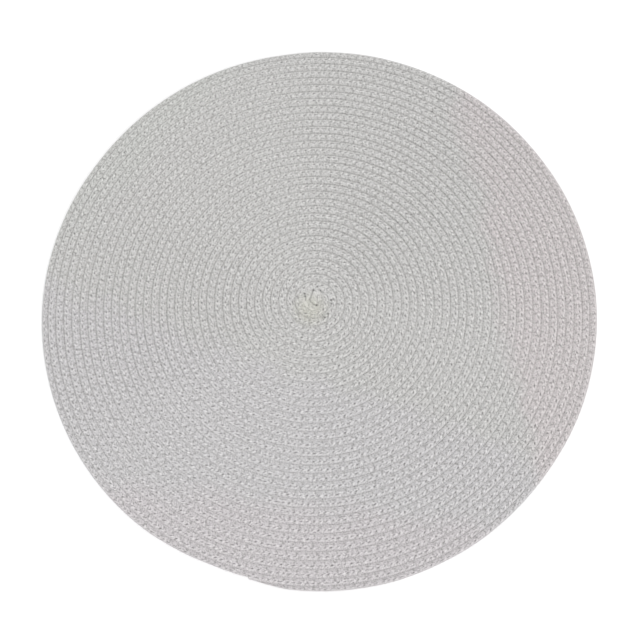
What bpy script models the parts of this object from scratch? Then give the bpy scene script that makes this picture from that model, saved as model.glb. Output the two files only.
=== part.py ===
"""Round table mat made of one flat plaited cord, wound in a spiral and sewn row to row.

The cord starts as a tight curl in the middle, winds outwards clockwise as seen from above, and its
tapered end is sewn against the row before. Each row is a rounded rib between two grooves, raised in
the points of the top face. The underside is flat, because the mat lies on it.

Metres, +Z up. The origin is the middle of the spiral, on the underside. Lengths across the mat are
counted in rows, where one row is the distance from a groove to the next. Bearings are in degrees
clockwise from +X, as seen from above.
"""

import math

import bmesh
import bpy

# Driving sizes, in metres
ROW_PITCH = 0.00556
THICKNESS = 0.0036
GROOVE_DEPTH = 0.0011
RIM_HEIGHT = 0.0017
RIM_UNDERCUT = 0.0009

# Winding
STEPS_PER_TURN = 48
START_BEARING = 57.7
FIRST_STEP = 28
LAST_STEP = 34 * STEPS_PER_TURN + 6
CURL_STEPS = 14

# Last row, in rows: it is narrow, is drawn in as it is sewn down, and then tapers away
LAST_ROW_WIDTH = 0.77
LAST_ROW_DRAWN_IN = 0.15
TAPER_STEPS = 4
TAPER_POWER = 0.35

# How far the outer rows stand out of a true spiral, in rows, at each bearing
BEARING, AMOUNT = 0, 1
SWELLS = (
    (0.0, 0.12),
    (20.0, 0.10),
    (40.0, -0.03),
    (65.0, 0.00),
    (90.0, -0.12),
    (130.0, -0.08),
    (175.0, -0.15),
    (215.0, -0.30),
    (250.0, -0.18),
    (285.0, -0.08),
    (320.0, -0.04),
    (345.0, 0.08),
)
SWELL_FROM_ROW = 10.0
SWELL_FULL_ROW = 30.0

# How much wider or narrower the last row shows, in rows, at each bearing: its free edge wavers
FREE_EDGE = (
    (0.0, 0.11),
    (20.0, 0.08),
    (40.0, 0.02),
    (55.0, 0.00),
    (67.0, -0.09),
    (80.0, -0.03),
    (90.0, 0.00),
    (97.0, -0.01),
    (104.0, -0.09),
    (111.0, -0.18),
    (118.0, -0.09),
    (127.0, 0.02),
    (175.0, -0.01),
    (200.0, -0.05),
    (215.0, -0.12),
    (232.0, -0.10),
    (250.0, -0.07),
    (262.0, -0.08),
    (272.0, 0.03),
    (285.0, 0.10),
    (312.0, 0.18),
    (330.0, 0.13),
    (345.0, 0.10),
)

# Finish of the yarn: colour (linear), roughness
YARN_COLOUR = (0.571, 0.565, 0.552, 1.0)
YARN_ROUGHNESS = 0.9


def clear_scene():
    """Remove whatever the file opened with."""
    for item in list(bpy.data.objects):
        bpy.data.objects.remove(item, do_unlink=True)


def ease(share):
    """A smooth rise from 0 to 1 as share goes from 0 to 1."""
    share = min(max(share, 0.0), 1.0)
    return share * share * (3.0 - 2.0 * share)


def bearing_of(step):
    """The bearing of a step along the winding, in degrees."""
    return START_BEARING + 360.0 * step / STEPS_PER_TURN


def amount_at(table, bearing):
    """What a table gives at a bearing, eased between its entries."""
    for here, after in zip(table, table[1:] + table[:1]):
        span = (after[BEARING] - here[BEARING]) % 360.0
        along = (bearing - here[BEARING]) % 360.0
        if along < span:
            return here[AMOUNT] + (after[AMOUNT] - here[AMOUNT]) * ease(along / span)
    return 0.0


def groove_rows(step):
    """Distance of the inner groove from the middle at a step, in rows."""
    turns = step / STEPS_PER_TURN
    curl = 1.0 - ease((step - FIRST_STEP) / CURL_STEPS)
    last_row = max(0.0, (step - LAST_STEP) / STEPS_PER_TURN + 1.0)
    return turns + curl - LAST_ROW_DRAWN_IN * last_row


def edge_rows(step):
    """Distance of the mat's outer edge from the middle at a step of the last row, in rows."""
    to_end = (LAST_STEP - step) / TAPER_STEPS
    taper = min(1.0, to_end) ** TAPER_POWER
    width = LAST_ROW_WIDTH + amount_at(FREE_EDGE, bearing_of(step))
    return groove_rows(step) + width * taper


def outer_rows(step):
    """Distance of the row's outer side: the next groove, or the edge on the last row."""
    if step + STEPS_PER_TURN <= LAST_STEP:
        return groove_rows(step + STEPS_PER_TURN)
    return edge_rows(step)


def place(step, rows, height, inset=0.0):
    """The point at a step's bearing, a number of rows from the middle."""
    bearing = bearing_of(step)
    share = ease((rows - SWELL_FROM_ROW) / (SWELL_FULL_ROW - SWELL_FROM_ROW))
    radius = ROW_PITCH * (rows + share * amount_at(SWELLS, bearing)) - inset
    angle = -math.radians(bearing)
    return (radius * math.cos(angle), radius * math.sin(angle), height)


def add_face(mesh, corners):
    """Add a face, leaving out a corner that repeats the one before it."""
    kept = [c for i, c in enumerate(corners) if c is not corners[i - 1]]
    mesh.faces.new(kept)


def build_mat():
    """The whole mat as one closed mesh."""
    mesh = bmesh.new()
    groove_height = THICKNESS - GROOVE_DEPTH
    rim_steps = range(LAST_STEP - STEPS_PER_TURN + 1, LAST_STEP + 1)

    # The groove leaves one point twice: as the curl's crease, and a turn later as the first row's
    second_turn = FIRST_STEP + STEPS_PER_TURN
    grooves = {}
    for step in range(FIRST_STEP, LAST_STEP):
        if step != second_turn:
            grooves[step] = mesh.verts.new(place(step, groove_rows(step), groove_height))
    grooves[second_turn] = grooves[FIRST_STEP]
    grooves[LAST_STEP] = mesh.verts.new(place(LAST_STEP, edge_rows(LAST_STEP), RIM_HEIGHT))

    crowns = {FIRST_STEP: grooves[FIRST_STEP], LAST_STEP: grooves[LAST_STEP]}
    for step in range(FIRST_STEP + 1, LAST_STEP):
        middle = (groove_rows(step) + outer_rows(step)) / 2.0
        crowns[step] = mesh.verts.new(place(step, middle, THICKNESS))

    rim = {LAST_STEP - STEPS_PER_TURN: grooves[LAST_STEP], LAST_STEP: grooves[LAST_STEP]}
    for step in rim_steps[:-1]:
        rim[step] = mesh.verts.new(place(step, edge_rows(step), RIM_HEIGHT))
    feet = [mesh.verts.new(place(step, edge_rows(step), 0.0, RIM_UNDERCUT)) for step in rim_steps]

    # The curl in the middle: a low dome inside the first turn of the groove
    curl = [grooves[step] for step in range(FIRST_STEP, second_turn)]
    heart = [sum(corner.co[axis] for corner in curl) / len(curl) for axis in (0, 1)]
    dome = mesh.verts.new((heart[0], heart[1], THICKNESS))
    for here, after in zip(curl, curl[1:] + curl[:1]):
        mesh.faces.new((dome, here, after))

    # The rows: each rises from its inner groove to its crown and falls to its outer side
    for step in range(FIRST_STEP, LAST_STEP):
        outer = grooves if step + 1 + STEPS_PER_TURN <= LAST_STEP else rim
        add_face(mesh, (grooves[step], crowns[step], crowns[step + 1], grooves[step + 1]))
        beyond = step if outer is rim else step + STEPS_PER_TURN
        add_face(mesh, (crowns[step], outer[beyond], outer[beyond + 1], crowns[step + 1]))

    # The edge and the flat underside
    for number, step in enumerate(rim_steps):
        mesh.faces.new((rim[step - 1], feet[number - 1], feet[number], rim[step]))
    mesh.faces.new(feet)

    bmesh.ops.recalc_face_normals(mesh, faces=mesh.faces)
    return mesh


def yarn_material():
    """Pale grey cotton yarn, matt."""
    material = bpy.data.materials.new("pale_grey_yarn")
    material.use_nodes = True
    shader = material.node_tree.nodes["Principled BSDF"]
    shader.inputs["Base Color"].default_value = YARN_COLOUR
    shader.inputs["Roughness"].default_value = YARN_ROUGHNESS
    shader.inputs["Metallic"].default_value = 0.0
    return material


def main():
    """Build the mat as one named object."""
    clear_scene()
    mesh = build_mat()
    data = bpy.data.meshes.new("braided_mat")
    mesh.to_mesh(data)
    mesh.free()
    data.materials.append(yarn_material())
    data.shade_smooth()
    data.set_sharp_from_angle(angle=math.radians(50.0))
    mat = bpy.data.objects.new("braided_mat", data)
    bpy.context.scene.collection.objects.link(mat)


main()
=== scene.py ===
"""Looks of a round table mat: one plaited cotton cord wound in a spiral and sewn row to row.

Lengths are metres, the middle of the spiral is over the origin, and the mat lies on z = 0. A place
on the mat is given by turns of the spiral, and by how far it is across the row, from 0 at its inner
groove to 1 at its outer one. Bearings are degrees clockwise from +X, as seen from above.
"""

import logging
import math
from dataclasses import dataclass, field
from enum import Enum
from typing import Any, List, Sequence, Tuple

import bpy
import numpy as np
from mathutils import Matrix, Vector


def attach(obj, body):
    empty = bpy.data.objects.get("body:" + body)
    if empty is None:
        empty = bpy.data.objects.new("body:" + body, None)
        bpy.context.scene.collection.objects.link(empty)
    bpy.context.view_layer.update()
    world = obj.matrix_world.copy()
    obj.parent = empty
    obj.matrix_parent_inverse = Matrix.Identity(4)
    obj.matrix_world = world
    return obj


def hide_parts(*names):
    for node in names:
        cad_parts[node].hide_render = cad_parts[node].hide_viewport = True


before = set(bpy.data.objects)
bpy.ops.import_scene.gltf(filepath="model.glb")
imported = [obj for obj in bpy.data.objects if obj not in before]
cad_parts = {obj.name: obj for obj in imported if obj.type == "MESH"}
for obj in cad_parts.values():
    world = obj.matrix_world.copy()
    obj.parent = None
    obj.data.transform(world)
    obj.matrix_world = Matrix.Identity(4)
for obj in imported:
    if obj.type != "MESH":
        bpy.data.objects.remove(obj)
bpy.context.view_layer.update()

log = logging.getLogger("placemat")

MM = 0.001
SAME_PLACE = 0.01 * MM
STRIP_OVERHANG = 15.0 * MM
MEASURED_PLACES = 40001
AREA_PLACES = 20001

# Random draws: how many there are, and a seed for each use
DRAWS = 4096
ARMS_DRAWN = 4093
ARM_SEED = 7
HAND_SEED = 11

Array = np.ndarray
Piece = bpy.types.Object
Socket = bpy.types.NodeSocket
Point = Tuple[float, float]
Triple = Tuple[float, float, float]


# Small helpers


def ease(share: Array) -> Array:
    """A smooth rise from 0 to 1 as share goes from 0 to 1."""
    share = np.clip(share, 0.0, 1.0)
    return share * share * (3.0 - 2.0 * share)


def round_the_mat(table: Sequence[Point], bearing: Array) -> Array:
    """Read a table of bearing and value all the way round, eased between its entries.

    Args:
        table: Bearings in degrees and their values, in rising order.
        bearing: Where it is read, in degrees.

    Returns:
        The value at each bearing.
    """
    around = np.mod(bearing, 360.0)
    found = np.zeros_like(around)
    for here, after in zip(table, list(table[1:]) + list(table[:1])):
        span = (after[0] - here[0]) % 360.0
        along = np.mod(around - here[0], 360.0)
        value = here[1] + (after[1] - here[1]) * ease(along / span)
        found = np.where(along < span, value, found)
    return found


def wander(place: Array, wave: float, seed: int) -> Array:
    """Slow, smooth unevenness from -1 to 1.

    Args:
        place: Distance along the cord, in metres.
        wave: Length of one swing, in metres.
        seed: Seed of the draw.

    Returns:
        The unevenness at each place.
    """
    draw = np.random.default_rng(seed).uniform(-1.0, 1.0, DRAWS)
    step = place / wave
    low = np.floor(step).astype(int)
    part = ease(step - low)
    return draw[low % DRAWS] * (1.0 - part) + draw[(low + 1) % DRAWS] * part


def to_linear(hex_colour: str) -> Tuple[float, float, float, float]:
    """An sRGB hex colour such as #C7C6C3 as linear RGBA."""
    parts = [int(hex_colour[i : i + 2], 16) / 255.0 for i in (1, 3, 5)]
    line = [p / 12.92 if p <= 0.04045 else ((p + 0.055) / 1.055) ** 2.4 for p in parts]
    return (*line, 1.0)


def in_plan(radius: Array, bearing: Array) -> Array:
    """The x and y of places at a distance from the middle and a bearing in degrees."""
    angle = -np.radians(bearing)
    return np.stack([radius * np.cos(angle), radius * np.sin(angle)], axis=-1)


def select(*pieces: Piece) -> None:
    """Select these pieces alone and make the first active, or leave nothing selected."""
    for item in bpy.context.selected_objects:
        item.select_set(False)
    for piece in pieces:
        piece.select_set(True)
    if pieces:
        bpy.context.view_layer.objects.active = pieces[0]


def points_of(piece: Piece) -> Array:
    """The places of a mesh's points, one row each."""
    flat = np.empty(len(piece.data.vertices) * 3)
    piece.data.vertices.foreach_get("co", flat)
    return flat.reshape(-1, 3)


def put_points(piece: Piece, points: Array) -> None:
    """Move a mesh's points to new places."""
    piece.data.vertices.foreach_set("co", np.ascontiguousarray(points, dtype=np.float32).ravel())
    piece.data.update()


def read_number(piece: Piece, name: str) -> Array:
    """The values of a point attribute that holds one number."""
    values = np.empty(len(piece.data.vertices), dtype=np.float32)
    piece.data.attributes[name].data.foreach_get("value", values)
    return values


def write_number(piece: Piece, name: str, values: Array) -> None:
    """Store one number at each point, for the material or for a later step."""
    store = piece.data.attributes.get(name) or piece.data.attributes.new(name, "FLOAT", "POINT")
    store.data.foreach_set("value", np.ascontiguousarray(values, dtype=np.float32))


def write_map(piece: Piece, name: str, u: Array, v: Array) -> None:
    """Store a UV map, one u and v for each face corner."""
    layer = piece.data.uv_layers.get(name) or piece.data.uv_layers.new(name=name)
    layer.data.foreach_set("uv", np.column_stack([u, v]).astype(np.float32).ravel())


def corners_of(piece: Piece) -> Tuple[Array, Array]:
    """Each face corner's point, and its face."""
    point = np.empty(len(piece.data.loops), dtype=np.int32)
    piece.data.loops.foreach_get("vertex_index", point)
    count = np.empty(len(piece.data.polygons), dtype=np.int32)
    piece.data.polygons.foreach_get("loop_total", count)
    return point, np.repeat(np.arange(len(count)), count)


def highest_of_face(values: Array, face: Array) -> Array:
    """The highest value among each face's corners, given back at every corner."""
    top = np.full(int(face.max()) + 1, -1e9)
    np.maximum.at(top, face, values)
    return top[face]


def grid_for_tube(columns: int, around: int) -> Tuple[Piece, Array, Array]:
    """A grid that is to be rolled into a tube along x.

    Args:
        columns: Faces along the tube.
        around: Faces round it.

    Returns:
        The grid, and each point's column and station. The attribute "around" keeps the station.
    """
    select()
    bpy.ops.mesh.primitive_grid_add(x_subdivisions=columns, y_subdivisions=around, size=2.0)
    piece = bpy.context.active_object
    grid = points_of(piece)
    column = np.round((grid[:, 0] + 1.0) / 2.0 * columns)
    station = np.round((1.0 - grid[:, 1]) / 2.0 * around).astype(int) % around
    write_number(piece, "around", station)
    return piece, column, station


def repeat_and_close(piece: Piece, length: float, count: int) -> None:
    """Close the seam of one repeat, and set copies of it end to end as one closed tube.

    Args:
        piece: The repeat, an open tube along x, which is the active object.
        length: Length of a repeat, in metres.
        count: How many repeats the tube has.
    """
    bpy.ops.object.mode_set(mode="EDIT")
    bpy.ops.mesh.select_all(action="SELECT")
    bpy.ops.mesh.remove_doubles(threshold=SAME_PLACE)
    bpy.ops.object.mode_set(mode="OBJECT")

    row = piece.modifiers.new("repeats", "ARRAY")
    row.fit_type = "FIXED_COUNT"
    row.count = count
    row.use_relative_offset = False
    row.use_constant_offset = True
    row.constant_offset_displace = (length, 0.0, 0.0)
    row.use_merge_vertices = True
    row.merge_threshold = SAME_PLACE
    bpy.ops.object.modifier_apply(modifier=row.name)

    bpy.ops.object.mode_set(mode="EDIT")
    bpy.ops.mesh.select_mode(type="EDGE")
    bpy.ops.mesh.select_all(action="DESELECT")
    bpy.ops.mesh.select_non_manifold()
    bpy.ops.mesh.edge_face_add()
    bpy.ops.mesh.select_mode(type="VERT")
    bpy.ops.object.mode_set(mode="OBJECT")


def write_bake_map(piece: Piece, along: Array, level: Array, band: Array, width: float) -> None:
    """Write the bake map: the cord cut into level strips, with gaps between.

    Args:
        piece: The laid piece.
        along: Metres along the cord of each face corner.
        level: Its place across the band, from 0 to 1.
        band: 0 for the top and 1 for the underside.
        width: Width of a band, in metres.
    """
    face = corners_of(piece)[1]
    start, total = along.min(), np.ptp(along)
    strips = max(1, round(math.sqrt(total / (2.0 * width))))
    low = -highest_of_face(-along, face)
    strip = np.floor((low - start) / total * strips).clip(0, strips - 1)
    inside = (along - start - strip * total / strips) / (total / strips + STRIP_OVERHANG)
    row = (2.0 * strip + band + 0.06 + 0.88 * level) / (2.0 * strips)
    write_map(piece, "OFBake", 0.004 + 0.992 * inside, row)


# Winding


@dataclass(frozen=True)
class Winding:
    """The spiral that the cord follows, with the sizes of the CAD solid.

    A turn counts from 0 at the middle. The row that starts at a turn has its inner groove at that
    turn and its outer one a turn later. The first row leaves the curl at the first turn, and the
    last one, which is narrow and is drawn in as it is sewn down, tapers out at the last turn.
    Widths are in rows, from a groove to the next, and steps are the CAD's, 48 to a turn.
    """

    row_pitch: float = 5.56 * MM
    steps: int = 48
    start_bearing: float = 57.7
    first_turn: float = 28.0 / 48.0
    last_turn: float = 34.0 + 6.0 / 48.0
    curl_steps: float = 14.0
    last_row_width: float = 0.77
    last_row_drawn_in: float = 0.15
    taper_steps: float = 4.0
    taper_power: float = 0.35
    swell_from: float = 10.0
    swell_full: float = 30.0

    # How far the outer rows stand out of a true spiral, in rows, at each bearing
    swells: Tuple[Point, ...] = (
        (0.0, 0.12), (20.0, 0.10), (40.0, -0.03), (65.0, 0.00), (90.0, -0.12), (130.0, -0.08),
        (175.0, -0.15), (215.0, -0.30), (250.0, -0.18), (285.0, -0.08), (320.0, -0.04),
        (345.0, 0.08),
    )

    # How much wider or narrower the last row shows, in rows: its free edge wavers
    free_edge: Tuple[Point, ...] = (
        (0.0, 0.11), (20.0, 0.08), (40.0, 0.02), (55.0, 0.00), (67.0, -0.09), (80.0, -0.03),
        (90.0, 0.00), (97.0, -0.01), (104.0, -0.09), (111.0, -0.18), (118.0, -0.09),
        (127.0, 0.02), (175.0, -0.01), (200.0, -0.05), (215.0, -0.12), (232.0, -0.10),
        (250.0, -0.07), (262.0, -0.08), (272.0, 0.03), (285.0, 0.10), (312.0, 0.18),
        (330.0, 0.13), (345.0, 0.10),
    )

    def bearing(self, turn: Array) -> Array:
        """The bearing at a turn, in degrees."""
        return self.start_bearing + 360.0 * turn

    def groove(self, turn: Array) -> Array:
        """Distance of the groove at a turn from the middle, in rows."""
        curl = 1.0 - ease((turn - self.first_turn) * self.steps / self.curl_steps)
        last_row = np.maximum(0.0, turn - self.last_turn + 1.0)
        return turn + curl - self.last_row_drawn_in * last_row

    def outer(self, turn: Array) -> Array:
        """Distance of the row's outer side: the next groove, or the edge on the last row."""
        to_end = np.clip((self.last_turn - turn) * self.steps / self.taper_steps, 0.0, 1.0)
        step = 1.0 / self.taper_steps

        # The CAD's points join the last step of the taper with a straight line
        taper = np.maximum(to_end, step) ** self.taper_power * np.minimum(to_end / step, 1.0)
        width = self.last_row_width + round_the_mat(self.free_edge, self.bearing(turn))
        edge = self.groove(turn) + width * taper
        return np.where(turn + 1.0 <= self.last_turn, self.groove(turn + 1.0), edge)

    def width(self, turn: Array) -> Array:
        """Width of the row at a turn, in rows."""
        return self.outer(turn) - self.groove(turn)

    def radius(self, turn: Array, across: Array) -> Array:
        """Distance from the middle of a place across the row, in metres."""
        rows = self.groove(turn) + across * self.width(turn)
        share = ease((rows - self.swell_from) / (self.swell_full - self.swell_from))
        return self.row_pitch * (rows + share * round_the_mat(self.swells, self.bearing(turn)))

    def place(self, turn: Array, across: Array) -> Array:
        """The x and y at a turn and a place across the row, in metres."""
        return in_plan(self.radius(turn, across), self.bearing(turn))


@dataclass
class CordLength:
    """The measure along the cord: which turn lies at each length of cord, and back."""

    winding: Winding
    turns: Array = field(init=False)
    lengths: Array = field(init=False)
    total: float = field(init=False)

    def __post_init__(self) -> None:
        """Measure the middle of the row in small steps."""
        w = self.winding
        self.turns = np.linspace(w.first_turn, w.last_turn, MEASURED_PLACES)
        path = w.place(self.turns, np.full_like(self.turns, 0.5))
        run = np.linalg.norm(np.diff(path, axis=0), axis=1)
        self.lengths = np.concatenate([[0.0], np.cumsum(run)])
        self.total = float(self.lengths[-1])

    def turn_at(self, length: Array) -> Array:
        """The turn at a length of cord."""
        return np.interp(length, self.lengths, self.turns)

    def length_at(self, turn: Array) -> Array:
        """The length of cord at a turn."""
        return np.interp(turn, self.turns, self.lengths)

    def area(self, start: float, end: float) -> float:
        """What the cord covers from one length to another, in square metres."""
        w = self.winding
        at = np.linspace(start, end, AREA_PLACES)
        return float(np.mean(w.row_pitch * w.width(self.turn_at(at))) * (end - start))


# Sewing pattern


@dataclass(frozen=True)
class Zigzag:
    """The machine's zigzag that joins each row to the next across the groove."""

    stitch: float = 6.4 * MM
    inner_row_across: float = 0.66
    outer_row_across: float = 0.30
    outer_row_lag: float = 0.42
    hole: float = 0.75 * MM
    dent: float = 0.42 * MM

    def phase_inwards(self, cord: CordLength, turn: Array) -> Array:
        """Stitches counted for the holes near a row's inner side, as the row before sets them."""
        return cord.length_at(turn - 1.0) / self.stitch - self.outer_row_lag

    def dents(self, cord: CordLength, length: Array, turn: Array, across: Array) -> Array:
        """How deep the thread draws the yarn in at a place on the cord, from 0 to 1."""
        found = np.zeros_like(length)
        for phase, line in (
            (length / self.stitch, self.inner_row_across),
            (self.phase_inwards(cord, turn), self.outer_row_across),
        ):
            along = (phase - np.round(phase)) * self.stitch
            sideways = (across - line) * cord.winding.row_pitch
            found += np.exp(-(along**2 + sideways**2) / self.hole**2)
        return np.clip(found, 0.0, 1.0)


# Plaited cord


class Side(Enum):
    """The two sides of the cord, numbered by their band of the map that is baked on."""

    TOP = 0
    UNDERSIDE = 1


@dataclass
class PlaitedCord:
    """The flat cord of three strands: one repeat of its plait, and the runs laid from it."""

    cord: CordLength
    zigzag: Zigzag
    repeat: float = 4.09 * MM
    strand_swing: float = 1.70 * MM
    strand_lift: float = 0.62 * MM
    strand_half_width: float = 1.42 * MM
    strand_half_thickness: float = 1.18 * MM
    strand_squareness: float = 2.3
    mid_height: float = 1.80 * MM
    under_fullness: float = 1.14
    arm_fullness: float = 0.025
    arm_reach: float = 0.004
    hand_fullness: float = 0.02
    hand_wave: float = 31.0 * MM
    edge: float = 3.08 * MM
    notch: float = 0.02 * MM
    middle_relief: float = 0.80
    edge_relief: float = 0.12
    shoulder: float = 0.16 * MM
    core_rows: float = 2.3
    even_rows: float = 7.0
    core_closeness: float = 0.3
    core_level: float = 1.40 * MM
    core_open_bearing: float = 20.0
    edge_lift: float = 0.50 * MM
    tilt: float = 0.12 * MM
    tip_turns: float = 0.006
    tip_tuck: float = 0.5 * MM
    tip_thickness: float = 0.45

    # How much higher or lower the rows meet in their grooves, in millimetres, at each bearing
    closeness: Tuple[Point, ...] = (
        (15.0, 0.08), (45.0, -0.02), (75.0, 0.06), (105.0, 0.32), (135.0, 0.30), (165.0, -0.22),
        (195.0, -0.24), (225.0, 0.00), (255.0, 0.00), (280.0, -0.40), (315.0, -0.54),
        (345.0, -0.26),
    )

    # How the section is cut, in faces along a repeat and millimetres across the cord
    columns: int = 4
    top_stations: Tuple[float, ...] = (-3.08, -2.35, -1.6, -0.85, 0.0, 0.85, 1.6, 2.35, 3.08)
    under_stations: Tuple[float, ...] = (1.5, 0.0, -1.5)

    @property
    def period(self) -> float:
        """Length in which a strand comes back to its place: three repeats."""
        return 3.0 * self.repeat

    @property
    def stations(self) -> Array:
        """Places round the cord's section, in metres across: top, then underside."""
        return np.array(self.top_stations + self.under_stations) * MM

    def slant(self, across: Array, under: Array) -> Array:
        """How far along the cord an arm of the plait has run at a place across it.

        Args:
            across: Metres from the cord's middle line.
            under: True on the underside.

        Returns:
            Metres along the cord from where the arm crosses the middle on top.
        """
        swing = np.clip(np.abs(across) / self.strand_swing, 0.0, 1.0)
        run = self.period / (2.0 * math.pi) * np.arcsin(swing)
        return np.where(under, self.period / 2.0 - run, run)

    def relief(self, along: Array, across: Array, under: Array) -> Array:
        """Height of the plait's surface over the cord's mid plane.

        Args:
            along: Metres along the cord.
            across: Metres from the cord's middle line.
            under: True on the underside, where the height is downwards.

        Returns:
            The height of the uppermost strand, in metres.
        """
        found = np.full_like(along, -1.0)
        for strand in range(3):
            angle = 2.0 * math.pi * (along / self.period + strand / 3.0)
            middle = self.strand_swing * np.sin(angle)
            lift = np.where(under, -1.0, 1.0) * self.strand_lift * np.sin(2.0 * angle)
            slope = 2.0 * math.pi * self.strand_swing / self.period * np.cos(angle)
            away = (across - middle) / np.sqrt(1.0 + slope**2) / self.strand_half_width
            round_off = np.clip(1.0 - np.abs(away) ** self.strand_squareness, 0.0, 1.0)
            round_off = round_off ** (1.0 / self.strand_squareness)
            height = lift + self.strand_half_thickness * round_off
            found = np.maximum(found, np.where(np.abs(away) < 1.0, height, -1.0))
        return found

    def model_repeat(self) -> Piece:
        """One repeat of the plait, which starts at x = 0, as an open tube rolled from a grid."""
        piece, column, station = grid_for_tube(self.columns, len(self.stations))
        across = self.stations[station]
        under = station >= len(self.top_stations)
        along = column * self.repeat / self.columns + self.slant(across, under)
        height = self.relief(along, across, under)

        # Wear and the sewing press the arms level, most of all towards the edges
        for number, place in enumerate(self.stations):
            same = station == number
            evened = height[same].mean()
            sewn = ease((abs(place) / self.edge - 0.2) / 0.7)
            kept = self.middle_relief + (self.edge_relief - self.middle_relief) * sewn
            height[same] = evened + kept * (height[same] - evened)
            if abs(place) > self.edge / 2.0:
                height[same] -= self.shoulder * math.sin(math.pi * abs(place) / self.edge) ** 2

        # The edges: the arms' turns stand out as lobes, and between them the edge draws in
        rim = np.abs(across) >= self.edge - 1e-6
        lobe = np.cos(2.0 * math.pi * (column / self.columns - np.where(across < 0, 0.5, 0.0)))
        pull = self.notch * (1.0 - lobe) / 2.0
        height = np.where(rim, self.edge_lift, np.where(under, -height, height))
        across = np.where(rim, np.sign(across) * (self.edge - pull), across)
        put_points(piece, np.column_stack([along, across, height]))
        return piece

    def run_of_cord(self, first: int, count: int) -> Piece:
        """A run of cord laid along the winding, uneven as from the hand, and dented by the sewing.

        Args:
            first: Number of the run's first repeat, counted from the cord's start.
            count: How many repeats it has.

        Returns:
            The run, with closed ends and with its maps.
        """
        w = self.cord.winding
        piece = self.model_repeat()
        repeat_and_close(piece, self.repeat, count)
        straight = points_of(piece)
        straight[:, 0] += first * self.repeat
        put_points(piece, straight)
        along, sideways, height = points_of(piece).T
        station = read_number(piece, "around").astype(int)
        under = station >= len(self.top_stations)
        arm = (along - self.slant(self.stations[station], under)) / self.repeat

        # Each arm of the plait is a little fuller or slacker than the next
        side = np.where(sideways >= 0.0, 0, 1)
        number = np.floor(arm + 0.5 + 0.5 * side).astype(int) % ARMS_DRAWN
        draw = np.random.default_rng(ARM_SEED).normal(0.0, 1.0, (4, DRAWS)).clip(-2.0, 2.0)
        swing = wander(along, self.hand_wave, HAND_SEED)
        fullness = 1.0 + self.arm_fullness * draw[side, number] + self.hand_fullness * swing
        reach = 1.0 + self.arm_reach * draw[side + 2, number]

        turn = self.cord.turn_at(along)
        across = 0.5 + sideways * reach / w.row_pitch
        rim = (across > 0.5) & (turn + 1.0 > w.last_turn)
        across = np.where(rim, 0.5 + (across - 0.5) * w.row_pitch / (2.0 * self.edge), across)
        narrow = ease(w.width(turn) / w.last_row_width)

        dent = self.zigzag.dents(self.cord, along, turn, across)
        top = (height - self.edge_lift) * fullness + self.edge_lift
        top -= np.where(height > self.edge_lift, self.zigzag.dent * dent, 0.0)
        low = self.under_fullness * height
        low += np.where(height < 0.0, self.zigzag.dent * dent, 0.0)

        # Each row leans a little outwards, and the rows are sewn closer at some bearings
        lean = sideways / self.edge
        snug = MM * round_the_mat(self.closeness, w.bearing(turn))
        outwards = ease((w.groove(turn) - self.core_rows) / self.even_rows)
        snug *= self.core_closeness + (1.0 - self.core_closeness) * outwards
        top += self.tilt * lean + snug * lean**2
        fused = ease((self.core_rows - w.groove(turn) - across) / 0.8) * np.abs(lean) ** 2
        fused *= 1.0 - 0.7 * np.cos(np.radians(w.bearing(turn) - self.core_open_bearing)).clip(0.0)
        top += fused * np.maximum(self.core_level - top, 0.0)
        thickness = self.tip_thickness + (1.0 - self.tip_thickness) * narrow
        level = np.where(height > 0.0, top, low) * thickness
        level = self.mid_height + np.clip(level, -self.mid_height, self.mid_height * 1.06)

        # The tip tucks in against the row before
        tip = ease(1.0 - (w.last_turn - turn) / self.tip_turns)
        level = self.mid_height + (level - self.mid_height) * (1.0 - 0.5 * tip)
        plan = w.place(turn, across)
        plan *= (1.0 - self.tip_tuck * tip / np.linalg.norm(plan, axis=1))[:, None]
        put_points(piece, np.column_stack([plan, level]))

        # Painted shade, as far as a place lies in its neighbours' shade: 0 on a crown, 1 in a
        # groove
        depth = 1.0 - np.abs(height) / (self.strand_lift + self.strand_half_thickness)
        painted_shade = np.clip(0.6 * depth + ease((np.abs(lean) - 0.62) / 0.3), 0.0, 1.0)
        write_number(piece, "painted_shade", painted_shade * (1.0 - 0.8 * fused))
        self.write_maps(piece, along, arm, station, turn)
        return piece

    def write_maps(
        self, piece: Piece, along: Array, arm: Array, station: Array, turn: Array
    ) -> None:
        """Write the maps that the finishes read, and the bake map.

        Args:
            piece: The laid run.
            along: Metres along the cord of each point.
            arm: Arms of the plait counted along the cord.
            station: Number of each point round the section.
            turn: Turn of each point.
        """
        point, face = corners_of(piece)
        under = np.where(station >= len(self.top_stations), 1.0, 0.0)
        band = highest_of_face(under[point], face)
        lie = (0.5 + self.stations[station] / (2.0 * self.edge))[point]
        write_map(piece, "plait", arm[point], lie + band)
        outwards = along / self.zigzag.stitch
        inwards = self.zigzag.phase_inwards(self.cord, turn)
        write_map(piece, "stitches", outwards[point], inwards[point])
        write_bake_map(piece, along[point], lie, band, 2.0 * self.edge)


# Folded start


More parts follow.
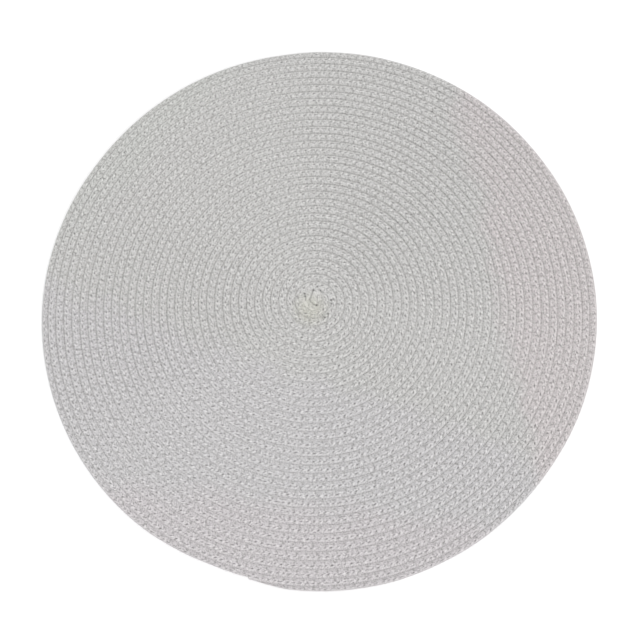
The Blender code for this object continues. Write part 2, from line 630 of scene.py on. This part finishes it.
@dataclass
class FoldedStart:
    """The cord's start in the middle of the mat, folded back on itself beside a crease."""

    plait: PlaitedCord
    segments: int = 96
    rings: int = 48
    overlap: float = 0.28 * MM
    crown: float = 1.55 * MM
    crease_level: float = 0.30 * MM
    squareness: float = 2.2
    bend: float = 2.6 * MM
    relief_share: float = 0.35
    hole_depth: float = 1.3 * MM
    hole_radius: float = 0.62 * MM
    crease_width: float = 0.50 * MM
    crease_shade: float = 1.8
    hole_shade: float = 4.0
    fineness: float = 1.6

    # The crease: bearings, and rows from the middle
    crease: Tuple[Point, ...] = (
        (52.0, 0.60), (78.0, 0.44), (122.0, 0.30), (170.0, 0.40), (210.0, 0.54), (238.0, 0.70),
        (254.0, 0.87), (262.0, 1.15), (266.6, 1.50),
    )

    def edge_radius(self, bearing: Array) -> Array:
        """Distance of the groove round the folded start from the middle, in metres."""
        w = self.plait.cord.winding
        turn = np.mod((bearing - w.start_bearing) / 360.0 - w.first_turn, 1.0) + w.first_turn
        return w.row_pitch * w.groove(turn)

    def crease_line(self) -> Array:
        """The crease from the small hole in the middle up to the groove, in plan."""
        pitch = self.plait.cord.winding.row_pitch
        bearing, rows = np.array(self.crease).T
        corner = in_plan(rows * pitch, bearing)
        fine = np.linspace(0, len(corner) - 1, 161)
        whole = np.arange(len(corner))
        return np.stack([np.interp(fine, whole, corner[:, k]) for k in (0, 1)], axis=1)

    def along_fold(self, plan: Array) -> Tuple[Array, Array]:
        """Where each place lies on the folded cord.

        Args:
            plan: The x and y of the places.

        Returns:
            Metres along the cord, 0 at the fold, and metres from the crease.
        """
        line = self.crease_line()
        gap = np.linalg.norm(plan[:, None] - line[None], axis=2)
        nearest = gap.argmin(axis=1)
        run = np.concatenate([[0.0], np.cumsum(np.linalg.norm(np.diff(line, axis=0), axis=1))])
        ahead = line[np.minimum(nearest + 1, len(line) - 1)] - line[np.maximum(nearest - 1, 0)]
        reach = plan - line[nearest]
        turn = ahead[:, 0] * reach[:, 1] - ahead[:, 1] * reach[:, 0]
        side = np.where(turn > 0.0, -1.0, 1.0)
        beyond = np.arctan2(np.abs(turn), -(ahead * reach).sum(axis=1))
        swept = np.where(nearest == 0, np.minimum(beyond, math.pi / 2.0), math.pi / 2.0)
        return side * (run[nearest] + swept * self.bend), gap.min(axis=1)

    def build(self) -> Piece:
        """The folded start as a closed, low cushion of cord.

        Returns:
            The piece, with the same maps as the runs of cord.
        """
        select()
        bpy.ops.mesh.primitive_uv_sphere_add(segments=self.segments, ring_count=self.rings)
        piece, plait = bpy.context.active_object, self.plait
        x, y, z = points_of(piece).T
        under = z < -1e-6
        out = np.sqrt(x**2 + y**2)
        angle = np.arctan2(y, x)
        edge = self.edge_radius(-np.degrees(angle))
        reach = out * (edge + self.overlap)
        plan = in_plan(reach, -np.degrees(angle))

        along, from_crease = self.along_fold(plan)
        from_edge = np.maximum(edge - reach, 0.0)
        share = from_crease / np.maximum(from_crease + from_edge, 1e-9)
        rim_level = np.where(under, plait.edge_lift, plait.core_level)
        base = rim_level + (self.crease_level - rim_level) * (1.0 - share)
        round_off = (1.0 - np.abs(2.0 * share - 1.0) ** self.squareness) ** (1.0 / self.squareness)
        level = base + (self.crown - base) * round_off

        sideways = (share - 0.5) * plait.cord.winding.row_pitch
        strands = plait.relief(along, sideways, under)
        thick = plait.strand_lift + plait.strand_half_thickness
        level -= self.relief_share * round_off * np.clip(thick - strands, 0.0, 0.8 * MM)
        hole = np.linalg.norm(plan - self.crease_line()[0], axis=1) / self.hole_radius
        level -= np.where(under, 0.3, 1.0) * self.hole_depth * np.exp(-(hole**2))
        beyond = np.clip((reach - edge) / self.overlap, 0.0, 1.0)
        level = np.maximum(level, 0.0) * np.sqrt(1.0 - beyond**2)
        crease = np.exp(-((from_crease / self.crease_width) ** 2))

        height = plait.mid_height + np.where(under, -level, level)
        put_points(piece, np.column_stack([plan, height]))
        point, face = corners_of(piece)
        band = highest_of_face(np.where(under, 1.0, 0.0)[point], face)
        arm = (along - plait.slant(sideways, under)) / plait.repeat
        write_map(piece, "plait", self.fineness * arm[point], share[point] + band)
        write_map(piece, "stitches", *np.full((2, len(point)), 0.5))
        # Painted shade in the crease and in the small hole
        in_hole = self.hole_shade * np.exp(-(hole**2))
        write_number(piece, "painted_shade", np.maximum(self.crease_shade * crease, in_hole))
        flat = 0.25 + 0.48 * plan[point] / (2.0 * (edge.max() + self.overlap))
        write_map(piece, "OFBake", flat[:, 0] + 0.5 * band, flat[:, 1] + 0.25)
        return piece


# Sewing thread


@dataclass
class SewingThread:
    """The thread of the zigzag, on top and on the underside, as laid over the grooves."""

    plait: PlaitedCord
    radius: float = 0.17 * MM
    sides: int = 3
    top_stations: Tuple[float, ...] = (0.0, 0.13, 0.5, 0.87, 1.0)
    under_stations: Tuple[float, ...] = (0.0, 0.2, 0.8, 1.0)
    over_crown: float = 1.50 * MM
    over_groove: float = 0.82 * MM
    in_hole: float = 0.70 * MM

    def path(self, stitches: Array, side: Side) -> Array:
        """The thread's middle line.

        Args:
            stitches: Stitches counted along the cord, whole at each hole of the inner row.
            side: The side of the mat that the thread lies on.

        Returns:
            One row of x, y and z for each count.
        """
        zig, cord = self.plait.zigzag, self.plait.cord
        w = cord.winding
        part = stitches - np.floor(stitches)
        lag = zig.outer_row_lag
        share = np.where(part < lag, part / lag, (1.0 - part) / (1.0 - lag))
        turn = cord.turn_at(stitches * zig.stitch)
        near = w.radius(turn, np.full_like(turn, zig.inner_row_across))
        far = w.radius(turn + 1.0, np.full_like(turn, zig.outer_row_across))
        radius = near + (far - near) * share
        sag = self.over_crown - (self.over_crown - self.over_groove) * np.sin(math.pi * share) ** 2
        sink = ease(1.0 - np.minimum(share, 1.0 - share) / 0.12)
        height = sag - (self.over_crown - self.in_hole) * sink
        sign = 1.0 if side is Side.TOP else -self.plait.under_fullness
        plan = in_plan(radius, w.bearing(turn))
        return np.column_stack([plan, self.plait.mid_height + sign * height])

    def build(self, first: int, count: int, side: Side) -> Piece:
        """The thread of a number of stitches.

        Args:
            first: Number of the first stitch.
            count: How many stitches.
            side: The side of the mat.

        Returns:
            A closed tube laid over the grooves.
        """
        zig = self.plait.zigzag
        way = self.top_stations if side is Side.TOP else self.under_stations
        there = [q * zig.outer_row_lag for q in way]
        back = [zig.outer_row_lag + q * (1.0 - zig.outer_row_lag) for q in way]
        parts = np.array(there + back[1:])
        piece, column, station = grid_for_tube(len(parts) - 1, self.sides)
        turned = 2.0 * math.pi * station / self.sides
        y, z = -self.radius * np.cos(turned), self.radius * np.sin(turned)
        put_points(piece, np.column_stack([parts[column.astype(int)] * zig.stitch, y, z]))
        repeat_and_close(piece, zig.stitch, count)

        straight = points_of(piece)
        stitches = np.clip(straight[:, 0] / zig.stitch, 0.0, count) + first
        middle = self.path(stitches, side)
        near = self.path(stitches - 0.01, side)
        after = self.path(stitches + 0.01, side)
        ahead = (after - near) / np.linalg.norm(after - near, axis=1)[:, None]
        left = np.cross([0.0, 0.0, 1.0], ahead)
        left /= np.linalg.norm(left, axis=1)[:, None]
        above = np.cross(ahead, left)
        put_points(piece, middle + left * straight[:, 1:2] + above * straight[:, 2:3])

        point = corners_of(piece)[0]
        number = read_number(piece, "around")[point] / self.sides
        band = np.full(len(point), float(side.value))
        along = (stitches * zig.stitch)[point]
        write_map(piece, "twist", along, number)
        write_bake_map(piece, along, number, band, 4.0 * self.radius)
        return piece


# Camera and light


@dataclass(frozen=True)
class Studio:
    """The photograph's view, a pale floor and soft light."""

    eye: Triple = (0.0203, -0.1504, 0.5886)
    right: Triple = (0.99963, 0.0, -0.02720)
    up: Triple = (0.00620, 0.97367, 0.22790)
    lens: float = 49.41
    sensor: float = 36.0
    floor_half_side: float = 3.0
    surroundings: float = 1.09
    panel_distance: float = 8.0
    panel_bearing: float = 50.0
    panel_rise: float = 38.0
    panel_power: float = 132.0
    panel_side: float = 2.0

    def set_camera(self) -> None:
        """Put the camera where the photograph was taken."""
        data = bpy.data.cameras.new("camera")
        data.lens = self.lens
        data.sensor_width = self.sensor
        data.clip_start = 0.01
        camera = bpy.data.objects.new("camera", data)
        right, up = Vector(self.right), Vector(self.up)
        turn = Matrix((right, up, right.cross(up))).transposed()
        camera.matrix_world = Matrix.Translation(self.eye) @ turn.to_4x4()
        bpy.context.scene.collection.objects.link(camera)
        bpy.context.scene.camera = camera

    def lay_floor(self) -> None:
        """A plain pale floor under the mat."""
        select()
        bpy.ops.mesh.primitive_plane_add(size=2.0 * self.floor_half_side)
        floor = bpy.context.active_object
        floor.name = floor.data.name = "floor"
        paper = Nodes("white_studio_paper")
        paper.shader.inputs["Base Color"].default_value = to_linear("#FCFCFC")
        paper.shader.inputs["Roughness"].default_value = 0.95
        paper.shader.inputs["Specular IOR Level"].default_value = 0.1
        floor.data.materials.append(paper.material)

    def light(self) -> None:
        """Soft white surroundings, and one square panel to the lower right of the picture."""
        world = bpy.data.worlds.new("soft_surroundings")
        world.use_nodes = True
        sky = world.node_tree.nodes["Background"].inputs
        sky["Color"].default_value = (1, 1, 1, 1)
        sky["Strength"].default_value = self.surroundings
        bpy.context.scene.world = world

        data = bpy.data.lights.new("key_panel", "AREA")
        data.energy = self.panel_power
        data.size = self.panel_side
        panel = bpy.data.objects.new("key_panel", data)
        rise = math.radians(self.panel_rise)
        away = Vector((*in_plan(math.cos(rise), self.panel_bearing), math.sin(rise)))
        panel.location = away * self.panel_distance
        panel.rotation_mode = "QUATERNION"
        panel.rotation_quaternion = away.to_track_quat("Z", "Y")
        bpy.context.scene.collection.objects.link(panel)
        bpy.context.scene.view_settings.view_transform = "Standard"


# Finishes


class Nodes:
    """A material's nodes, added one by one with their settings and links."""

    def __init__(self, name: str) -> None:
        """Start a material that has only its shader and output."""
        self.material = bpy.data.materials.new(name)
        self.material.use_nodes = True
        self.tree = self.material.node_tree
        self.shader = self.tree.nodes["Principled BSDF"]

    def add(self, kind: str, *values: Any, out: Any = 0, **settings: Any) -> Socket:
        """Add a node.

        Args:
            kind: The node's type without "ShaderNode", and after a space its operation, if any.
            values: Its inputs in order, or one dict of them by name or number. Each is a value, or
                a socket to link from.
            out: Name or number of the output that is wanted.
            settings: Its other settings, by name.

        Returns:
            The output.
        """
        kind, _, operation = kind.partition(" ")
        node = self.tree.nodes.new("ShaderNode" + kind)
        if operation:
            node.operation = operation
        for name, value in settings.items():
            setattr(node, name, value)
        inputs = values[0] if values and isinstance(values[0], dict) else dict(enumerate(values))
        for name, value in inputs.items():
            self.put(node.inputs[name], value)
        return node.outputs[out]

    def put(self, socket: Socket, value: Any) -> None:
        """Set an input to a value, or link it from a socket."""
        if isinstance(value, Socket):
            self.tree.links.new(value, socket)
        else:
            socket.default_value = value


@dataclass(frozen=True)
class Tint:
    """A faint tint of the mat towards a bearing, from where it starts to where it is full."""

    colour: str
    bearing: float
    start: float
    full: float
    share: float


@dataclass(frozen=True)
class CottonYarn:
    """Matt pale grey cotton yarn, spun loosely: soft, dull, with short stray fibres.

    The plies run along each arm of the plait. A ply is 0.4 mm wide, which the whole mat's view
    can't show, so the flecks that it can show are as coarse as a tuft of fibre, 0.5 by 1.2 mm.
    The cord's sizes set the scales of the patterns.
    """

    plait: PlaitedCord
    colour: str = "#C9C8C7"
    # Shade: dark yarn, and painted shade between strands. Bright: light yarn, and painted
    # highlights.
    shade: str = "#696866"
    bright: str = "#F4F3F1"
    # Painted shade in the pits and in the needle's holes
    pit_and_hole_shade: str = "#5E5D5B"
    tints: Tuple[Tint, ...] = (
        Tint("#CAC8CA", bearing=110.0, start=44.0 * MM, full=58.0 * MM, share=1.0),
        Tint("#CEC7C8", bearing=-8.3, start=118.0 * MM, full=134.0 * MM, share=1.0),
        Tint("#CDC7CA", bearing=96.0, start=128.0 * MM, full=146.0 * MM, share=0.8),
        Tint("#C7C9C5", bearing=222.0, start=150.0 * MM, full=175.0 * MM, share=0.6),
    )
    tint_waver: float = 30.0 * MM
    middle_tint: str = "#C2C1B8"
    middle_tint_reach: float = 15.0 * MM
    middle_tint_at: Triple = (-2.3 * MM, -5.6 * MM, 0.0)
    roughness: float = 0.85
    bump_depth: float = 0.15 * MM

    # Patterns along an arm of the plait and across the cord
    plies_per_arm: float = 6.0
    ply_waver: float = 1.2
    streaks_across: float = 5.0
    flecks_per_arm: float = 8.0
    flecks_across: float = 5.5
    fuzz: float = 0.35 * MM

    # Light, dark and thin yarn: the noise at which each starts, where it is full, and its share
    light_yarn: Tuple[float, ...] = (0.51, 0.64, 0.70)
    dark_yarn: Tuple[float, ...] = (0.46, 0.35, 0.95)
    thin_yarn: Tuple[float, ...] = (0.48, 0.28, 0.45)

    # Where a spot starts and where it is full, in millimetres from its middle
    pit_reach: Point = (0.696, 0.246)
    hole_reach: Point = (0.85, 0.2)

    # Where the pits' painted shade and the arms' painted highlights lie across the cord, from 0 to
    # 1
    pit_across: float = 0.61
    arm_highlight_across: float = 0.67

    # How much of its colour each painted shade or highlight takes
    painted_shade_share: float = 0.26
    arm_highlight_share: float = 0.22
    pit_shade_share: float = 0.66
    hole_shade_share: float = 0.45

    # Needle's holes that tack the folded start, each with painted shade: bearings, and rows from
    # the middle
    start_hole_reach: Point = (1.05 * MM, 0.4 * MM)
    start_hole_height: float = 3.3 * MM
    start_hole_strength: float = 2.0
    start_holes: Tuple[Point, ...] = (
        (221.0, 1.50), (211.0, 1.22), (269.0, 1.42), (302.0, 1.63), (284.0, 1.95), (356.0, 2.16),
        (8.0, 2.20), (42.0, 2.38), (56.0, 2.48), (197.0, 2.20),
    )

    def material(self) -> bpy.types.Material:
        """The finish of the cord."""
        n = Nodes("plaited_cotton_yarn")
        place = n.add("TexCoord", out="Object")
        arm = n.add("SeparateXYZ", n.add("UVMap", uv_map="plait"))
        across = arm.node.outputs["Y"]
        lie = n.add("Math FRACT", across)

        # Noise: streaks of fibre along the arms, flecks drawn out along them, fuzz, a slow waver
        plies = n.add("Math MULTIPLY", arm, self.plies_per_arm)
        flecks = n.add("Math MULTIPLY", arm, self.flecks_per_arm)
        streak_lie = n.add("Math MULTIPLY", across, self.streaks_across)
        fleck_lie = n.add("Math MULTIPLY", across, self.flecks_across)
        streak, mottle, fuzz, waver = (
            n.add("TexNoise", {"Vector": at, "Scale": scale, "Detail": detail, "Roughness": rough})
            for at, scale, detail, rough in (
                (n.add("CombineXYZ", plies, streak_lie), 1.0, 3.0, 0.6),
                (n.add("CombineXYZ", flecks, fleck_lie), 1.0, 2.0, 0.65),
                (place, 1.0 / self.fuzz, 2.0, 0.7),
                (place, 1.0 / self.tint_waver, 1.0, 0.5),
            )
        )

        # Slow tints over the mat, and a yellower one in the middle
        layers: List[Tuple[Socket, str]] = []
        half = 0.5 * self.tint_waver
        for tint in self.tints:
            way = (*in_plan(1.0, tint.bearing), 0.0)
            reach = n.add("VectorMath DOT_PRODUCT", place, way, out="Value")
            bent = n.add("Math MULTIPLY_ADD", waver, self.tint_waver, reach)
            much = n.add("MapRange", bent, tint.start + half, tint.full + half, 0.0, tint.share)
            layers.append((much, tint.colour))
        away = n.add("VectorMath DISTANCE", place, self.middle_tint_at, out="Value")
        reach = self.middle_tint_reach
        layers.append((n.add("MapRange", away, reach, 0.4 * reach, 0.0, 1.0), self.middle_tint))

        # Light and dark yarn; painted shade between strands, in pits and holes; painted highlights
        for noise, (start, full, share), over in (
            (mottle, self.light_yarn, self.bright),
            (mottle, self.dark_yarn, self.shade),
            (streak, self.thin_yarn, self.shade),
        ):
            layers.append((n.add("MapRange", noise, start, full, 0.0, share), over))
        # Painted shade between strands and in the folded start's crease and hole, stored on the
        # points
        painted_shade = n.add("Attribute", attribute_name="painted_shade", out="Fac")
        # Painted shade in the pits, a painted highlight (tuft) on the arm between, painted shade at
        # holes
        pit_shade, tuft, *sewn = self.rows_of_spots(n, arm, lie)
        tacked = self.start_tacks(n, place)
        hole = n.add("Math MAXIMUM", n.add("Math MAXIMUM", *sewn), tacked)
        for spot, share, over in (
            (painted_shade, self.painted_shade_share, self.shade),
            (tuft, self.arm_highlight_share, self.bright),
            (pit_shade, self.pit_shade_share, self.pit_and_hole_shade),
            (hole, self.hole_shade_share, self.pit_and_hole_shade),
        ):
            layers.append((n.add("Math MULTIPLY", spot, share), over))

        colour: Any = to_linear(self.colour)
        for share, over in layers:
            mixed = {0: share, 6: colour, 7: to_linear(over)}
            colour = n.add("Mix", mixed, out=2, data_type="RGBA")
        n.put(n.shader.inputs["Base Color"], colour)

        # Plies are rounded ridges along the arms, with fuzz over them
        bent = n.add("Math MULTIPLY_ADD", streak, self.ply_waver, plies)
        ply = n.add("Math ABSOLUTE", n.add("Math SINE", n.add("Math MULTIPLY", bent, math.pi)))
        height = n.add("Math MULTIPLY_ADD", fuzz, 0.8, n.add("Math MULTIPLY", ply, 0.5))
        bump = n.add("Bump", {"Strength": 0.7, "Distance": self.bump_depth, "Height": height})
        n.put(n.shader.inputs["Normal"], bump)
        rough = n.add("Math MULTIPLY_ADD", fuzz, 0.1, self.roughness)
        n.put(n.shader.inputs["Roughness"], rough)
        n.put(n.shader.inputs["Specular IOR Level"], 0.25)
        n.put(n.shader.inputs["Sheen Weight"], 0.12)
        n.put(n.shader.inputs["Sheen Roughness"], 0.5)
        return n.material

    def rows_of_spots(self, n: Nodes, arm: Socket, lie: Socket) -> List[Socket]:
        """Rows of spots along the cord.

        Args:
            n: The material's nodes.
            arm: Arms counted along the cord.
            lie: Place across the cord, from 0 to 1.

        Returns:
            How much there is of four kinds of spot, from 0 to 1: painted shade in the pits where
            two arms dive under a third, a painted highlight on the arm between, and painted shade
            in the needle's holes on either side.
        """
        plait = self.plait
        zig, width = plait.zigzag, 2.0 * plait.edge
        outwards = n.add("SeparateXYZ", n.add("UVMap", uv_map="stitches"))
        inwards = outwards.node.outputs["Y"]
        lines = [
            0.5 + (across - 0.5) * plait.cord.winding.row_pitch / width
            for across in (zig.inner_row_across, zig.outer_row_across)
        ]
        pits = n.add("Math SUBTRACT", arm, 0.5)
        found = []
        for counted, step, line, power, (reach, core) in (
            (pits, plait.repeat, self.pit_across, 2.0, self.pit_reach),
            (arm, plait.repeat, self.arm_highlight_across, 2.0, self.pit_reach),
            (outwards, zig.stitch, lines[0], 1.0, self.hole_reach),
            (inwards, zig.stitch, lines[1], 1.0, self.hole_reach),
        ):
            part = n.add("Math FRACT", n.add("Math ADD", counted, 0.5))
            along = n.add("Math MULTIPLY", n.add("Math SUBTRACT", part, 0.5), step / MM)
            off = n.add("Math MULTIPLY", n.add("Math SUBTRACT", lie, line), width / MM)
            away = n.add("VectorMath LENGTH", n.add("CombineXYZ", along, off), out="Value")
            away = n.add("Math POWER", away, power)
            found.append(n.add("MapRange", away, reach**power, core**power, 0.0, 1.0))
        return found

    def start_tacks(self, n: Nodes, place: Socket) -> Socket:
        """How much painted shade darkens the yarn by the needle's holes that tack the folded start.

        Args:
            n: The material's nodes.
            place: The place on the mat.

        Returns:
            The share of painted shade, above 1 where a hole is darkest.
        """
        found: Any = 0.0
        for bearing, rows in self.start_holes:
            plan = in_plan(rows * self.plait.cord.winding.row_pitch, bearing)
            at = (*plan, self.start_hole_height)
            away = n.add("VectorMath DISTANCE", place, at, out="Value")
            strength = self.start_hole_strength
            dark = n.add("MapRange", away, *self.start_hole_reach, 0.0, strength)
            found = n.add("Math MAXIMUM", found, dark)
        return found


@dataclass(frozen=True)
class PolyesterThread:
    """Spun polyester sewing thread of the yarn's colour: a little lighter, with a faint gloss."""

    colour: str = "#CBCAC8"
    turn: float = 0.8 * MM
    roughness: float = 0.6
    bump_depth: float = 0.05 * MM

    def material(self) -> bpy.types.Material:
        """The finish of the sewing thread."""
        n = Nodes("spun_polyester_thread")
        along = n.add("SeparateXYZ", n.add("UVMap", uv_map="twist"))
        round_it = along.node.outputs["Y"]
        wound = n.add("Math ADD", n.add("Math DIVIDE", along, self.turn), round_it)
        wave = n.add("Math SINE", n.add("Math MULTIPLY", wound, 2.0 * math.pi))
        ridge = n.add("Math ABSOLUTE", wave)
        # Painted shade: the colour darkens where the twist dips between the plies
        shade = n.add("MapRange", ridge, 0.0, 0.6, 0.82, 1.0)
        parts = [n.add("Math MULTIPLY", shade, part) for part in to_linear(self.colour)[:3]]
        n.put(n.shader.inputs["Base Color"], n.add("CombineColor", *parts))
        bump = n.add("Bump", {"Strength": 0.5, "Distance": self.bump_depth, "Height": ridge})
        n.put(n.shader.inputs["Normal"], bump)
        n.put(n.shader.inputs["Roughness"], self.roughness)
        return n.material


# The whole mat


@dataclass
class Placemat:
    """The mat: three runs of one cord with its folded start, and the thread that sews them."""

    plait: PlaitedCord
    thread: SewingThread
    start: FoldedStart
    run_ends: Tuple[float, ...] = (0.0, 0.37, 0.605, 1.0)
    first_stitch: int = 2
    sewn_to: float = 1.02

    def build(self) -> None:
        """Build, lay and dress every piece."""
        cord, zig = self.plait.cord, self.plait.zigzag
        yarn = CottonYarn(self.plait).material()
        sewing = PolyesterThread().material()
        repeats = int(cord.total / self.plait.repeat) - 1
        stitches = int(cord.length_at(cord.winding.last_turn - self.sewn_to) / zig.stitch)
        marks = [round(share * repeats) for share in self.run_ends]
        for number, (first, after) in enumerate(zip(marks, marks[1:]), 1):
            start, end = first * self.plait.repeat, after * self.plait.repeat
            area = cord.area(start, end)
            run = self.plait.run_of_cord(first, after - first)
            if number == 1:
                run = self.join(run, self.start.build())
                area += self.start_area()
            self.dress(run, f"plaited_cord_run_{number}", yarn)

            stitch = self.first_stitch if number == 1 else int(start / zig.stitch)
            count = min(int(end / zig.stitch), stitches) - stitch
            sewn = self.join(*(self.thread.build(stitch, count, side) for side in Side))
            self.dress(sewn, f"zigzag_sewing_{number}", sewing)
            size = [float(x) for x in np.ptp(points_of(run)[:, :2], axis=0)]

    def start_area(self) -> float:
        """What the folded start covers, in square metres."""
        reach = self.start.edge_radius(np.linspace(0.0, 360.0, 721)[:-1])
        return float(math.pi * np.mean(reach**2))

    def join(self, *pieces: Piece) -> Piece:
        """Join pieces into the first of them."""
        select(*pieces)
        bpy.ops.object.join()
        return pieces[0]

    def dress(self, piece: Piece, name: str, finish: bpy.types.Material) -> None:
        """Name a piece, give it its finish, say what it rides on, and hide the CAD part that it
        stands for.

        Args:
            piece: The finished mesh.
            name: Its name.
            finish: Its material.
        """
        piece.name = piece.data.name = name
        piece.data.materials.clear()
        piece.data.materials.append(finish)
        select(piece)
        bpy.ops.object.shade_smooth()
        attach(piece, "root")
        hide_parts("braided_mat")
        log.info("%s: %d faces", name, len(piece.data.polygons))


def main() -> None:
    """Build the mat, dress it, and light it."""
    logging.basicConfig(level=logging.INFO, format="%(message)s")
    studio = Studio()
    studio.set_camera()
    studio.lay_floor()
    cord = CordLength(Winding())
    log.info("cord in the rows: %.2f m", cord.total)
    plait = PlaitedCord(cord, Zigzag())
    Placemat(plait, SewingThread(plait), FoldedStart(plait)).build()
    studio.light()


if __name__ == "__main__":
    main()
